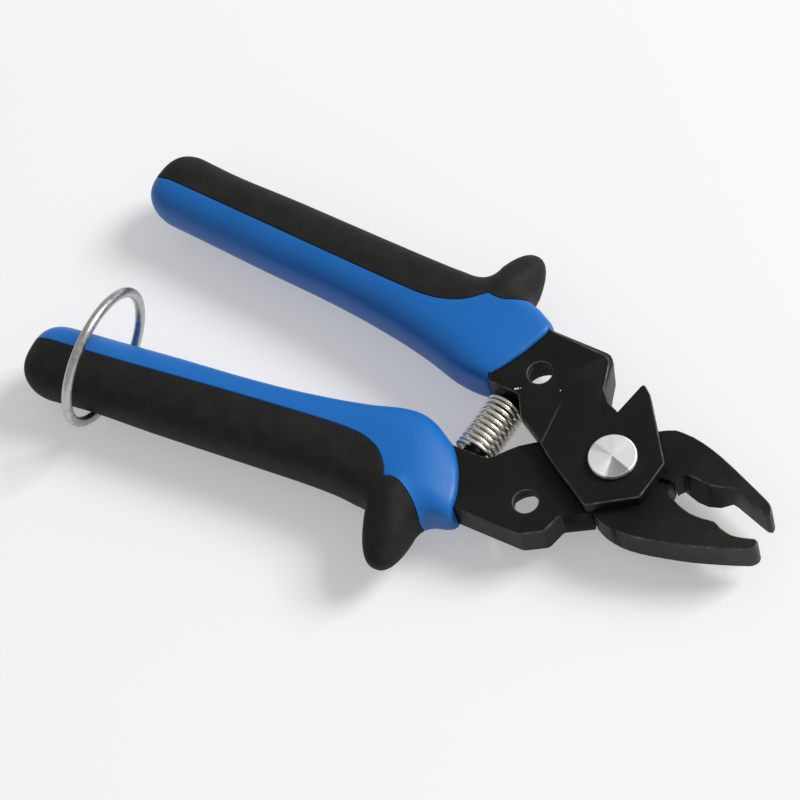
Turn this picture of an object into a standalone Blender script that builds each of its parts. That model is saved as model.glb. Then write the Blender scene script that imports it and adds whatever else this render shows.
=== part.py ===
"""Spring-open pliers with two-component grips and a ring round the lower handle.

Frame: metres, +Z up. The tool lies flat. The origin is the pivot axis at the rear face of the
pivot nut, +X runs towards the jaws, +Y towards the upper handle, and +Z towards the pivot head.
Lengths below are millimetres. Two forged levers cross at the pivot: the upper lever carries the
front boss plate, its cutting notch and the lower jaw, and the lower lever the upper jaw.
"""

from math import atan2, cos, pi, radians, sin, tan

import bmesh
import bpy
from mathutils import Vector

# ---------------------------------------------------------------- driving dimensions (mm)
MM = 0.001
GAP = 0.3                      # clearance kept between touching pieces

NUT_HEIGHT = 5.9
WASHER_HEIGHT = 0.6
WASHER_PLAY = 0.25             # each side of the washer
STEEL_BACK = NUT_HEIGHT + WASHER_HEIGHT + 2 * WASHER_PLAY      # rear face of lower lever and jaws
JAW_FACE = STEEL_BACK + 8.7                        # front face of lower lever and jaws
PLATE_BACK = JAW_FACE + GAP
PLATE_FACE = PLATE_BACK + 3.4                      # front face of boss plate and upper lever
UPPER_BACK = STEEL_BACK + 1.0                      # rear face of the upper lever
HEAD_HEIGHT = 1.3

HEAD_RADIUS = 6.15
NUT_RADIUS = 7.5               # across corners / 2
WASHER_RADIUS = 8.0
SHANK_RADIUS = 4.0
BORE_RADIUS = SHANK_RADIUS + GAP
HUB_RADIUS = 10.2              # lower lever's hub under the boss plate
SHEAR_RADIUS = 17.2            # lower lever's cutting shoulder under the boss plate
LEVER_HOLE_RADIUS = 3.2
LEVER_HOLE_SKIN = 2.6          # thickness left at the front of each lever hole
LEVER_HOLE_RECESS_RADIUS = 6.2
PLATE_CHAMFER = 1.0            # depth of the chamfer at the upper lever's outer corner

GRIP_AXIS_Z = 12.4             # height of the grips' centre plane
GRIP_REFERENCE_X = -103.0
GRIP_REFERENCE_Y = 27.1
LOWER_ANGLE = 5.6              # rise of the lower grip's axis towards the head
UPPER_ANGLE = -3.4
GRIP_END = {"lower": -64.4, "upper": -63.4}        # along a grip's own axis
GRIP_CAP = 11.0                # length of the rounded end
CAP_POWER = 2.7                # superellipse power of the rounded end, seen from the side
JACKET = 3.0                   # thickness of the soft cover over the hard core
TANG_HALF_WIDTH = 4.0
TANG_HALF_HEIGHT = 3.0
TANG_END = -42.0
TANG_ROOT = {"lower": 72.0, "upper": 70.0}         # along a grip's axis, inside the lever
CHANNEL_END = 75.0             # past the sleeve's front rim
REGION_OUT = 34.0              # past the finger guard's tip
REGION_HALF_HEIGHT = 20.0      # past the grip's upper and lower surface

SPRING_TOP = (-35.5, 6.2)
SPRING_BOTTOM = (-36.8, -10.5)
SPRING_Z = 11.9
SPRING_RADIUS = 5.5            # outside
SPRING_WIRE = 1.04
SPRING_TURNS = 10.5
PEG_RADIUS = 3.0
PEG_DEPTH = {"lower": 3.9, "upper": 3.7}           # how far a peg sits in its lever
PEG_STAND = 3.0                # how far a peg reaches into the spring

RING_CENTRE = (-142.1, -28.7)
RING_RADIUS = 18.9
RING_WIRE_RADIUS = 1.4
RING_YAW = 4.0
RING_LEAN = 11.0

COLOURS = {                    # base colour, roughness, metallic
    "black_steel": ((0.012, 0.012, 0.011), 0.45, 0.6),
    "bright_steel": ((0.62, 0.61, 0.59), 0.28, 1.0),
    "spring_steel": ((0.50, 0.45, 0.38), 0.25, 1.0),
    "blue_plastic": ((0.012, 0.13, 0.46), 0.38, 0.0),
    "black_rubber": ((0.013, 0.013, 0.012), 0.75, 0.0),
}


# ---------------------------------------------------------------- scene helpers
def clear_scene():
    for item in list(bpy.data.objects):
        bpy.data.objects.remove(item, do_unlink=True)


def new_collection(name):
    collection = bpy.data.collections.new(name)
    bpy.context.scene.collection.children.link(collection)
    return collection


def add_material(item, finish):
    colour, roughness, metallic = COLOURS[finish]
    material = bpy.data.materials.new(item.name + "_" + finish)
    material.use_nodes = True
    shader = material.node_tree.nodes["Principled BSDF"]
    shader.inputs["Base Color"].default_value = (*colour, 1.0)
    shader.inputs["Roughness"].default_value = roughness
    shader.inputs["Metallic"].default_value = metallic
    item.data.materials.clear()
    item.data.materials.append(material)


def mesh_object(name, bm):
    mesh = bpy.data.meshes.new(name)
    bmesh.ops.recalc_face_normals(bm, faces=bm.faces)
    bm.to_mesh(mesh)
    bm.free()
    item = bpy.data.objects.new(name, mesh)
    PARTS.objects.link(item)
    return item


def curve_to_mesh(curve_object, name):
    """Closed mesh of a curve object, its caps welded."""
    depsgraph = bpy.context.evaluated_depsgraph_get()
    mesh = bpy.data.meshes.new_from_object(curve_object.evaluated_get(depsgraph))
    bm = bmesh.new()
    bm.from_mesh(mesh)
    bmesh.ops.remove_doubles(bm, verts=bm.verts, dist=0.00001)
    placement = curve_object.matrix_world.copy()
    bpy.data.objects.remove(curve_object, do_unlink=True)
    bpy.data.meshes.remove(mesh)
    item = mesh_object(name, bm)
    item.matrix_world = placement
    return item


def combine(base, other, operation):
    """Boolean of base with other, which is used up."""
    modifier = base.modifiers.new(operation.lower(), "BOOLEAN")
    modifier.operation = operation
    modifier.object = other
    depsgraph = bpy.context.evaluated_depsgraph_get()
    mesh = bpy.data.meshes.new_from_object(base.evaluated_get(depsgraph))
    base.modifiers.clear()
    base.data = mesh
    bpy.data.objects.remove(other, do_unlink=True)
    return base


# ---------------------------------------------------------------- outlines
def rounded(corners, steps=3):
    """Closed outline through corners (x, y, radius)."""
    points = []
    for index, (x, y, radius) in enumerate(corners):
        corner = Vector((x, y))
        if radius == 0:
            points.append(corner)
            continue
        before = (Vector(corners[index - 1][:2]) - corner).normalized()
        after = (Vector(corners[(index + 1) % len(corners)][:2]) - corner).normalized()
        half = before.angle(after) / 2
        centre = corner + (before + after).normalized() * (radius / sin(half))
        first = corner + before * (radius / tan(half)) - centre
        last = corner + after * (radius / tan(half)) - centre
        turn = atan2(first.x * last.y - first.y * last.x, first.dot(last))
        for step in range(steps + 1):
            angle = atan2(first.y, first.x) + turn * step / steps
            points.append(centre + radius * Vector((cos(angle), sin(angle))))
    return points


def smooth(points, steps=3):
    """Points on a Catmull-Rom curve through the given points, both ends included."""
    given = [Vector(point) for point in points]
    given = [2 * given[0] - given[1]] + given + [2 * given[-1] - given[-2]]
    result = []
    for a, b, c, d in zip(given, given[1:], given[2:], given[3:]):
        for step in range(steps):
            t = step / steps
            result.append(
                0.5 * (2 * b + (c - a) * t + (2 * a - 5 * b + 4 * c - d) * t**2
                       + (3 * b - a - 3 * c + d) * t**3)
            )
    return result + [given[-2]]


def arc(radius, start, end, steps):
    """Points on a circle round the pivot, angles in degrees."""
    angles = [radians(start + (end - start) * step / steps) for step in range(steps + 1)]
    return [Vector((radius * cos(angle), radius * sin(angle))) for angle in angles]


def prism(name, outline, low, high):
    """Solid of a flat outline between two heights."""
    curve = bpy.data.curves.new(name, "CURVE")
    curve.dimensions = "2D"
    curve.fill_mode = "BOTH"
    curve.extrude = (high - low) / 2 * MM
    spline = curve.splines.new("POLY")
    spline.points.add(len(outline) - 1)
    for point, place in zip(spline.points, outline):
        point.co = (place[0] * MM, place[1] * MM, 0, 1)
    spline.use_cyclic_u = True
    item = bpy.data.objects.new(name, curve)
    item.location.z = (low + high) / 2 * MM
    PARTS.objects.link(item)
    bpy.context.view_layer.update()
    return curve_to_mesh(item, name)


def stacked_prism(name, levels):
    """Solid through outlines of as many points each; levels are (outline, height), lowest first."""
    bm = bmesh.new()
    rings = [
        [bm.verts.new((x * MM, y * MM, height * MM)) for x, y in outline]
        for outline, height in levels
    ]
    bm.faces.new(rings[0])
    bm.faces.new(rings[-1])
    for low, high in zip(rings, rings[1:]):
        for index, vert in enumerate(low):
            after = (index + 1) % len(low)
            bm.faces.new((vert, low[after], high[after], high[index]))
    bmesh.ops.triangulate(bm, faces=bm.faces)
    return mesh_object(name, bm)


def cylinder(name, centre, radius, low, high, sides=40):
    bm = bmesh.new()
    bmesh.ops.create_cone(
        bm, cap_ends=True, segments=sides, radius1=radius * MM, radius2=radius * MM,
        depth=(high - low) * MM,
    )
    item = mesh_object(name, bm)
    item.location = Vector((centre[0], centre[1], (low + high) / 2)) * MM
    bpy.context.view_layer.update()
    return item


# ---------------------------------------------------------------- handles
class Handle:
    """A grip's own frame: along runs to the head, out away from the other grip, up is +Z."""

    def __init__(self, name, side, angle):
        self.name = name
        self.origin = Vector((GRIP_REFERENCE_X, side * GRIP_REFERENCE_Y, GRIP_AXIS_Z))
        self.along = Vector((cos(radians(angle)), sin(radians(angle)), 0))
        self.out = Vector((-self.along.y, self.along.x, 0)) * side

    def place(self, along, out, up=0.0):
        return self.origin + self.along * along + self.out * out + Vector((0, 0, up))


LOWER = Handle("lower", -1, LOWER_ANGLE)
UPPER = Handle("upper", 1, UPPER_ANGLE)

# Grip sections: along, half width to the inner side, to the outer side, half height above and
# below the centre plane, how far the section leans with its outer side towards the head, in
# degrees, and its superellipse power.
GRIP_REAR = [
    (-55, 10.1, 10.5, 8.6, 8.8, 0, 2.5),
    (-40, 10.6, 10.2, 8.7, 8.6, 0, 2.25),
    (-20, 10.8, 10.5, 9.1, 9.1, 0, 2.4),
    (0, 10.8, 10.5, 9.5, 9.5, 0, 2.5),
    (15, 11.3, 10.5, 9.7, 9.7, 0, 2.6),
    (28, 12.4, 10.6, 9.8, 9.8, 0, 2.7),
]
GRIP_FRONT = {
    "lower": [
        (38, 13.7, 11.2, 9.9, 9.9, 0, 2.8),
        (46, 15.1, 12.7, 9.9, 9.9, 3, 3.0),
        (51, 15.5, 13.2, 9.8, 9.8, 7, 3.1),
        (56, 15.3, 12.7, 9.3, 9.5, 12, 3.3),
        (60, 14.6, 12.3, 8.4, 8.9, 16, 3.6),
        (64, 13.1, 11.4, 7.1, 8.1, 19, 3.9),
        (69.1, 9.9, 9.9, 5.0, 6.8, 22, 4.0),
    ],
    "upper": [
        (38, 13.7, 10.9, 9.9, 9.9, 0, 2.8),
        (46, 15.1, 11.8, 9.9, 9.9, 3, 3.0),
        (51, 15.9, 11.6, 9.8, 9.7, 5, 3.4),
        (56, 16.1, 10.8, 9.6, 9.1, 9, 3.9),
        (60, 16.2, 9.8, 9.3, 8.3, 12, 4.4),
        (64, 16.1, 8.2, 8.8, 7.3, 15, 5.0),
        (68.8, 15.8, 6.4, 8.1, 6.2, 17, 5.5),
    ],
}
RIM_BOW = {"lower": 2.4, "upper": 2.0}     # how far the front rim's two sides stand back
RIM_BOW_START = 51.0

# The soft cover's edge, seen along Z: along the grip's upper surface to a cusp, then round the
# front of the finger guard.
COVER_EDGE = {
    "lower": [
        (-80, -2.2), (-40, -2.3), (0, -2.8), (28, -2.9), (38, -2.5), (42.6, -1.7), (46.4, -0.1),
        (49.0, 1.9), (51.0, 4.4), (52.4, 7.0),
    ],
    "upper": [
        (-80, -2.2), (-40, -2.3), (0, -2.8), (28, -2.9), (36, -2.4), (41, -1.0), (45.4, 1.3),
        (49.6, 5.6),
    ],
}
GUARD_EDGE = {
    "lower": [(52.4, 7.0), (54.2, 6.6), (57.2, 7.3), (60.5, 9.4), (63.1, 12.1), (64.6, 16)],
    "upper": [(49.6, 5.6), (51.6, 5.4), (54.2, 5.8), (57.6, 7.9), (60.2, 10.8), (61.6, 16)],
}
GUARD_CENTRE = {"lower": (55.3, 10.8), "upper": (50.9, 10.5)}
GUARD_HALF_SIZE = {"lower": (7.2, 17.3, 9.8), "upper": (6.5, 14.9, 9.4)}
GUARD_LEAN = {"lower": 7.0, "upper": 0.0}  # degrees towards the head
GUARD_TAPER = (0.18, 0.45)     # share of its width and of its height lost at the tip


def superellipse(angle, power):
    """Unit superellipse point at an angle."""
    c, s = cos(angle), sin(angle)
    x = abs(c) ** (2 / power) * (1 if c > 0 else -1)
    y = abs(s) ** (2 / power) * (1 if s > 0 else -1)
    return x, y


def capped_sections(handle):
    """All of a grip's sections, with the rounded end before the first listed one."""
    first = GRIP_REAR[0]
    sections = []
    for share in (0.02, 0.1, 0.25, 0.5):
        scale = (1 - (1 - share) ** CAP_POWER) ** (1 / CAP_POWER)
        sizes = [scale * size for size in first[1:5]]
        sections.append((GRIP_END[handle.name] + GRIP_CAP * share, *sizes, *first[5:]))
    return sections + GRIP_REAR + GRIP_FRONT[handle.name]


def loft(name, handle, sections, inset=0.0, sides=20):
    """Solid through a handle's sections, each made smaller by inset."""
    bm = bmesh.new()
    rim_along = GRIP_FRONT[handle.name][-1][0]
    rings = []
    for along, inner, outer, above, below, lean, power in sections:
        ring = []
        bow = RIM_BOW[handle.name] * max(along - RIM_BOW_START, 0) / (rim_along - RIM_BOW_START)
        for side in range(sides):
            x, y = superellipse(2 * pi * (side + 0.5) / sides, power)
            out = x * ((outer if x > 0 else inner) - inset)
            up = y * ((above if y > 0 else below) - inset)
            place = handle.place(along + out * tan(radians(lean)) - bow * x**2, out, up)
            ring.append(bm.verts.new(place * MM))
        rings.append(ring)
    for ring, following in zip(rings, rings[1:]):
        for side in range(sides):
            after = (side + 1) % sides
            bm.faces.new((ring[side], ring[after], following[after], following[side]))
    bm.faces.new(rings[0])
    bm.faces.new(rings[-1])
    return mesh_object(name, bm)


def handle_prism(name, handle, outline, low, high):
    """Prism of an outline given in a handle's own frame, heights from the centre plane."""
    places = [handle.place(along, out) for along, out in outline]
    return prism(name, places, GRIP_AXIS_Z + low, GRIP_AXIS_Z + high)


def cover_region(name, handle, shift_along=0.0, shift_out=0.0):
    """Upright block holding everything on the soft cover's side of its edge."""
    edge = smooth(COVER_EDGE[handle.name])[:-1] + smooth(GUARD_EDGE[handle.name])
    outline = [(point[0] + shift_along, point[1] + shift_out) for point in edge]
    outline += [(outline[-1][0], REGION_OUT), (outline[0][0], REGION_OUT)]
    return handle_prism(name, handle, outline, -REGION_HALF_HEIGHT, REGION_HALF_HEIGHT)


def guard(name, handle):
    """The finger guard's lobe."""
    bm = bmesh.new()
    bmesh.ops.create_uvsphere(bm, u_segments=20, v_segments=10, radius=1.0)
    for vert in bm.verts:
        x, y, z = vert.co
        squareness = (abs(x) ** 2.5 + abs(y) ** 2.5 + abs(z) ** 2.5) ** (-1 / 2.5)
        x, y, z = (value * squareness for value in (x, y, z))
        taper = max(y, 0)
        width, reach, height = GUARD_HALF_SIZE[handle.name]
        along = GUARD_CENTRE[handle.name][0] + x * width * (1 - GUARD_TAPER[0] * taper)
        along += y * reach * tan(radians(GUARD_LEAN[handle.name]))
        out = GUARD_CENTRE[handle.name][1] + y * reach
        vert.co = handle.place(along, out, z * height * (1 - GUARD_TAPER[1] * taper)) * MM
    return mesh_object(name, bm)


def make_cover(handle):
    """Soft outer cover with its finger guard."""
    sections = capped_sections(handle)
    cover = loft(handle.name + "_grip_cover", handle, sections)
    combine(cover, guard("guard", handle), "UNION")
    combine(cover, cover_region("region", handle), "INTERSECT")
    combine(cover, loft("core", handle, sections[3:-1], JACKET), "DIFFERENCE")
    add_material(cover, "black_rubber")
    return cover


def make_sleeve(handle, lever_socket):
    """Hard inner sleeve: the inner half of the grip, its core and the socket for the lever."""
    sections = capped_sections(handle)
    sleeve = loft(handle.name + "_sleeve", handle, sections)
    combine(sleeve, cover_region("region", handle, GAP, -GAP), "DIFFERENCE")
    combine(sleeve, loft("core", handle, sections[4:-2], JACKET + GAP), "UNION")
    width = TANG_HALF_WIDTH + GAP
    height = TANG_HALF_HEIGHT + GAP
    channel = [
        (TANG_END - GAP, -width), (CHANNEL_END, -width), (CHANNEL_END, width),
        (TANG_END - GAP, width),
    ]
    combine(sleeve, handle_prism("channel", handle, channel, -height, height), "DIFFERENCE")
    combine(sleeve, lever_socket, "DIFFERENCE")
    add_material(sleeve, "blue_plastic")
    return sleeve


def tang(handle):
    """Flat bar from the lever into the sleeve."""
    root = TANG_ROOT[handle.name]
    outline = [
        (TANG_END, -TANG_HALF_WIDTH), (root, -TANG_HALF_WIDTH),
        (root, TANG_HALF_WIDTH), (TANG_END, TANG_HALF_WIDTH),
    ]
    return handle_prism("tang", handle, outline, -TANG_HALF_HEIGHT, TANG_HALF_HEIGHT)


# ---------------------------------------------------------------- levers
LOWER_HOLE = (-15.8, -18.1)
UPPER_HOLE = (-29.5, 14.7)

JAW_HOLE_TOP = [(15.0, 2.0), (15.5, 3.3), (16.6, 4.5), (18.4, 5.1), (20.5, 4.9)]
UPPER_JAW_EDGE = JAW_HOLE_TOP + [
    (23.5, 4.7), (26.5, 5.1), (29.0, 6.1), (32.0, 5.3), (36.0, 4.0), (40.0, 2.7),
]
UPPER_JAW_BACK = [
    (41.2, 3.0), (41.1, 4.4), (39.9, 5.9), (37.8, 7.1), (33.0, 9.1), (26.0, 12.0), (20.0, 14.1),
    (14.0, 15.4), (9.0, 15.2), (5.2, 13.2),
]
JAW_HOLE_BOTTOM = [(15.1, -0.7), (15.9, -1.7), (17.4, -2.5), (20.0, -3.3)]
LOWER_JAW_EDGE = JAW_HOLE_BOTTOM + [
    (23.0, -4.1), (26.5, -4.1), (29.5, -3.7), (31.8, -4.7), (34.8, -5.3), (37.8, -4.8),
    (40.6, -3.9),
]
LOWER_JAW_BACK = [
    (41.6, -4.3), (41.8, -5.6), (40.8, -7.1), (38.8, -8.1), (34.0, -10.0), (27.0, -12.5),
    (20.0, -14.4), (14.0, -15.7), (9.0, -16.1), (4.5, -15.4), (1.2, -14.0),
]

# Upper jaw's inner wall leans in towards the rear: x, y at the front and how far y drops behind.
UPPER_JAW_DRAFT = [
    (16.4, 4.5, 0.2), (18.4, 5.2, 1.5), (20.5, 5.0, 1.9), (23.5, 4.8, 1.8), (26.5, 5.2, 1.2),
    (28.6, 6.1, 0.2),
]
# Lap between the jaws under the slit that opens with them: radii, angles and heights.
LAP_INNER, LAP_OUTER = HUB_RADIUS + 0.5, 14.9
LAP_END = 16.0                 # degrees above +X where the lower jaw's ledge ends
LAP_FACE = STEEL_BACK + 7.6
JAW_TRAVEL = 9.0               # degrees that the jaws close by

LOWER_LEVER_INNER = [(-20.5, -1.0), (-25.5, -4.7), (-28.6, -8.3), (-31.0, -10.9), (-35.5, -11.4)]
LOWER_LEVER_OUTER = [
    (-43.5, -11.4, 0), (-32.4, -27.3, 0), (-13.0, -27.1, 3.5), (-7.4, -23.6, 2.0),
    (-6.1, -18.4, 1.5), (0.7, -14.3, 0),
]


def drill_lever_hole(lever, centre, low, high):
    """Through hole with a wider recess from the rear."""
    combine(lever, cylinder("hole", centre, LEVER_HOLE_RADIUS, low - 1, high + 1, 28), "DIFFERENCE")
    recess_top = high - LEVER_HOLE_SKIN
    radius = LEVER_HOLE_RECESS_RADIUS
    combine(lever, cylinder("recess", centre, radius, low - 1, recess_top, 28), "DIFFERENCE")


def spring_point(share, offset=0.0):
    """Point on the spring's axis: 0 at its lower end, 1 at its upper end, plus an offset in mm."""
    low = Vector((*SPRING_BOTTOM, SPRING_Z))
    high = Vector((*SPRING_TOP, SPRING_Z))
    return low.lerp(high, share) + (high - low).normalized() * offset


def rod_along_spring(name, start, end, radius, sides=20):
    """Round bar between two points on the spring's axis."""
    bm = bmesh.new()
    length = (end - start).length * MM
    bmesh.ops.create_cone(
        bm, cap_ends=True, segments=sides, radius1=radius * MM, radius2=radius * MM, depth=length
    )
    item = mesh_object(name, bm)
    item.rotation_mode = "QUATERNION"
    item.rotation_quaternion = (end - start).to_track_quat("Z", "Y")
    item.location = (start + end) / 2 * MM
    bpy.context.view_layer.update()
    return item


def lower_lever_outline():
    hub_end = arc(HUB_RADIUS, 8, -93, 10)
    shoulder = arc(SHEAR_RADIUS, 124.5, 174, 5)
    top = [Vector((4.8, 10.8))] + arc(12.0, 78, 120, 4) + [Vector((-6.3, 11.9))]
    return (
        smooth(LOWER_LEVER_INNER, 2) + rounded(LOWER_LEVER_OUTER) + hub_end[::-1]
        + smooth(UPPER_JAW_EDGE, 2) + smooth(UPPER_JAW_BACK, 2) + top + shoulder
    )


def make_lower_lever():
    """Lower handle's lever, the hub under the boss plate and the upper jaw."""
    lever = prism("lower_lever", lower_lever_outline(), STEEL_BACK, JAW_FACE)
    inside = [(28.6, 9.0), (16.4, 9.0)]
    front = [(x, y) for x, y, drop in UPPER_JAW_DRAFT] + inside
    rear = [(x, y - drop) for x, y, drop in UPPER_JAW_DRAFT] + inside
    combine(lever, stacked_prism("draft", [(rear, STEEL_BACK), (front, JAW_FACE)]), "UNION")
    recess_end = LAP_END + JAW_TRAVEL + 2
    recess = arc(LAP_INNER - 0.4, recess_end, -3, 8) + arc(LAP_OUTER + 0.5, -3, recess_end, 8)
    combine(lever, prism("recess", recess, STEEL_BACK - 1, LAP_FACE + GAP), "DIFFERENCE")
    combine(lever, tang(LOWER), "UNION")
    bore = cylinder("bore", (0, 0), BORE_RADIUS, STEEL_BACK - 1, JAW_FACE + 1, 32)
    combine(lever, bore, "DIFFERENCE")
    drill_lever_hole(lever, LOWER_HOLE, STEEL_BACK, JAW_FACE)
    seat = rod_along_spring(
        "seat", spring_point(0, -GAP - PEG_DEPTH["lower"]), spring_point(0.3), PEG_RADIUS + GAP
    )
    combine(lever, seat, "DIFFERENCE")
    add_material(lever, "black_steel")
    return lever


# The upper lever's end in its sleeve, and its outer corner at three depths: on the plate's front
# face, below the chamfer there, and on the lever's rear face.
SOCKET_EDGE = [(-42.4, 11.8, 0), (-36.5, 27.4, 0)]
CORNER_ON_FACE = (-14.8, 25.8, 3.0)
CORNER_IN_WALL = (-14.5, 27.2, 3.0)
CORNER_AT_REAR = (-15.2, 26.6, 3.0)
WALL_END = (-11.8, 16.8, 1.0)
BOSS_PLATE = [                 # the rest of the plate, from its notch round to the sleeve
    (-8.8, 13.9, 0.6), (-5.5, 12.5, 0), (-3.4, 22.6, 0.6), (-0.3, 20.2, 1.0), (6.6, 11.4, 0),
    (12.3, 4.1, 0.7), (11.2, -6.9, 0.7), (-0.3, -14.6, 0.6), (-14.6, -6.7, 2.0),
    (-20.3, -2.7, 0.6), (-27.8, 1.4, 2.0), (-31.6, 6.9, 2.0), (-40.9, 7.2, 1.0),
]
UPPER_LEVER_INNER = [(-22.0, 4.6, 0), (-26.6, 4.8, 1.0), (-30.0, 7.1, 1.0), (-40.9, 7.2, 1.0)]


def make_upper_lever():
    """Upper handle's lever, the boss plate in front of the hub and the lower jaw."""
    face, wall = (
        rounded(SOCKET_EDGE + [corner, WALL_END] + BOSS_PLATE)
        for corner in (CORNER_ON_FACE, CORNER_IN_WALL)
    )
    levels = [(wall, PLATE_BACK), (wall, PLATE_FACE - PLATE_CHAMFER), (face, PLATE_FACE)]
    lever = stacked_prism("upper_lever", levels)
    shoulder = arc(SHEAR_RADIUS + 2 * GAP, 125, 165, 5)
    front, rear = (
        shoulder[1:] + rounded(
            UPPER_LEVER_INNER + SOCKET_EDGE + [corner, WALL_END, (*shoulder[0], 0)]
        )
        for corner in (CORNER_IN_WALL, CORNER_AT_REAR)
    )
    body = stacked_prism("body", [(rear, UPPER_BACK), (front, PLATE_BACK + 1)])
    combine(lever, body, "UNION")
    root = arc(HUB_RADIUS + 0.5, -90, -4, 10)
    outline = root + smooth(LOWER_JAW_EDGE, 2) + smooth(LOWER_JAW_BACK, 2)
    combine(lever, prism("jaw", outline, STEEL_BACK, JAW_FACE), "UNION")
    ledge = arc(LAP_INNER, LAP_END, -8, 6) + arc(LAP_OUTER, -8, LAP_END, 6)
    combine(lever, prism("ledge", ledge, STEEL_BACK, LAP_FACE), "UNION")
    neck = arc(HUB_RADIUS + 0.5, -88, -6, 8) + [
        Vector((11.4, -1.2)), Vector((10.8, -6.6)), Vector((1.2, -13.3)),
    ]
    combine(lever, prism("neck", neck, JAW_FACE - 1, PLATE_BACK + 1), "UNION")
    combine(lever, tang(UPPER), "UNION")
    bore = cylinder("bore", (0, 0), BORE_RADIUS, PLATE_BACK - 1, PLATE_FACE + 1, 32)
    combine(lever, bore, "DIFFERENCE")
    drill_lever_hole(lever, UPPER_HOLE, UPPER_BACK, PLATE_FACE)
    seat = rod_along_spring(
        "seat", spring_point(0.7), spring_point(1, GAP + PEG_DEPTH["upper"]), PEG_RADIUS + GAP
    )
    combine(lever, seat, "DIFFERENCE")
    add_material(lever, "black_steel")
    return lever


def lower_socket():
    """Pocket in the lower sleeve for the end of its lever."""
    outline = [(-44.0, -11.0), (-20, -11.0), (-20, -27.8), (-32.9, -27.8)]
    return prism("socket", outline, STEEL_BACK - GAP, JAW_FACE + GAP)


def upper_socket():
    """Pocket in the upper sleeve for the end of its lever."""
    outline = [(-42.8, 11.7), (-41.3, 6.8), (-20, 6.8), (-20, 27.8), (-36.8, 27.8)]
    return prism("socket", outline, UPPER_BACK - GAP, PLATE_FACE + GAP)


# ---------------------------------------------------------------- pivot, spring, ring
def make_pivot():
    head_low = PLATE_FACE + GAP
    bolt = cylinder("pivot_bolt", (0, 0), SHANK_RADIUS, 0, head_low + 0.5, 32)
    head = cylinder("head", (0, 0), HEAD_RADIUS, head_low, head_low + HEAD_HEIGHT, 48)
    combine(bolt, head, "UNION")
    add_material(bolt, "bright_steel")

    washer_low = NUT_HEIGHT + WASHER_PLAY
    washer_high = washer_low + WASHER_HEIGHT
    washer = cylinder("pivot_washer", (0, 0), WASHER_RADIUS, washer_low, washer_high)
    hole = cylinder("hole", (0, 0), BORE_RADIUS, 0, STEEL_BACK, 32)
    combine(washer, hole, "DIFFERENCE")
    add_material(washer, "bright_steel")

    nut = cylinder("pivot_nut", (0, 0), NUT_RADIUS, 0, NUT_HEIGHT, 6)
    hole = cylinder("hole", (0, 0), BORE_RADIUS, -1, STEEL_BACK, 32)
    combine(nut, hole, "DIFFERENCE")
    add_material(nut, "black_steel")


def make_spring():
    """Compression spring with closed ends, as a round wire on a helix."""
    low = spring_point(0)
    axis = spring_point(1) - low
    across = axis.cross(Vector((0, 0, 1))).normalized()
    up = across.cross(axis).normalized()
    length = axis.length - SPRING_WIRE
    closed_pitch = SPRING_WIRE * 1.08
    open_pitch = (length - 2 * closed_pitch) / (SPRING_TURNS - 2)
    radius = SPRING_RADIUS - SPRING_WIRE / 2
    steps = 12
    curve = bpy.data.curves.new("return_spring", "CURVE")
    curve.dimensions = "3D"
    curve.bevel_depth = SPRING_WIRE / 2 * MM
    curve.bevel_resolution = 1
    curve.use_fill_caps = True
    spline = curve.splines.new("POLY")
    spline.points.add(int(SPRING_TURNS * steps))
    for index, point in enumerate(spline.points):
        turn = index / steps
        open_turns = min(max(turn - 1, 0), SPRING_TURNS - 2)
        closed_turns = turn - open_turns
        travel = SPRING_WIRE / 2 + closed_turns * closed_pitch + open_turns * open_pitch
        angle = 2 * pi * turn + pi / 2
        place = low + axis.normalized() * travel
        place += radius * (cos(angle) * across + sin(angle) * up)
        point.co = (*(place * MM), 1)
    item = bpy.data.objects.new("spring_wire", curve)
    PARTS.objects.link(item)
    bpy.context.view_layer.update()
    spring = curve_to_mesh(item, "return_spring")
    add_material(spring, "spring_steel")


def make_spring_pegs():
    """Pegs pressed into the levers, which centre the spring's ends."""
    lower = rod_along_spring(
        "lower_spring_peg", spring_point(0, -PEG_DEPTH["lower"]), spring_point(0, PEG_STAND),
        PEG_RADIUS,
    )
    upper = rod_along_spring(
        "upper_spring_peg", spring_point(1, -PEG_STAND), spring_point(1, PEG_DEPTH["upper"]),
        PEG_RADIUS,
    )
    for peg in (lower, upper):
        add_material(peg, "black_steel")


def make_ring():
    bpy.ops.mesh.primitive_torus_add(
        major_segments=64, minor_segments=10,
        major_radius=RING_RADIUS * MM, minor_radius=RING_WIRE_RADIUS * MM,
    )
    ring = bpy.context.object
    ring.name = "keeper_ring"
    for collection in ring.users_collection:
        collection.objects.unlink(ring)
    PARTS.objects.link(ring)
    height = RING_RADIUS * cos(radians(RING_LEAN)) + RING_WIRE_RADIUS
    ring.location = Vector((*RING_CENTRE, height)) * MM
    ring.rotation_euler = (0, radians(90 + RING_LEAN), radians(RING_YAW))
    add_material(ring, "bright_steel")


# ---------------------------------------------------------------- build
clear_scene()
PARTS = new_collection("pliers")
make_upper_lever()
make_lower_lever()
make_pivot()
make_spring()
make_spring_pegs()
make_sleeve(LOWER, lower_socket())
make_sleeve(UPPER, upper_socket())
make_cover(LOWER)
make_cover(UPPER)
make_ring()
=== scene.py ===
"""Looks of the spring-open pliers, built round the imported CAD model.

Lengths are millimetres in the row frame, turned to metres where a mesh is made. Each handle has its
own frame: along runs to the head, out points away from the other grip, and up is +Z.
"""

from math import atan2, cos, hypot, pi, radians, sin, tan

import bmesh
import bpy
import numpy as np
from mathutils import Matrix, Vector
from mathutils.bvhtree import BVHTree


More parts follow.
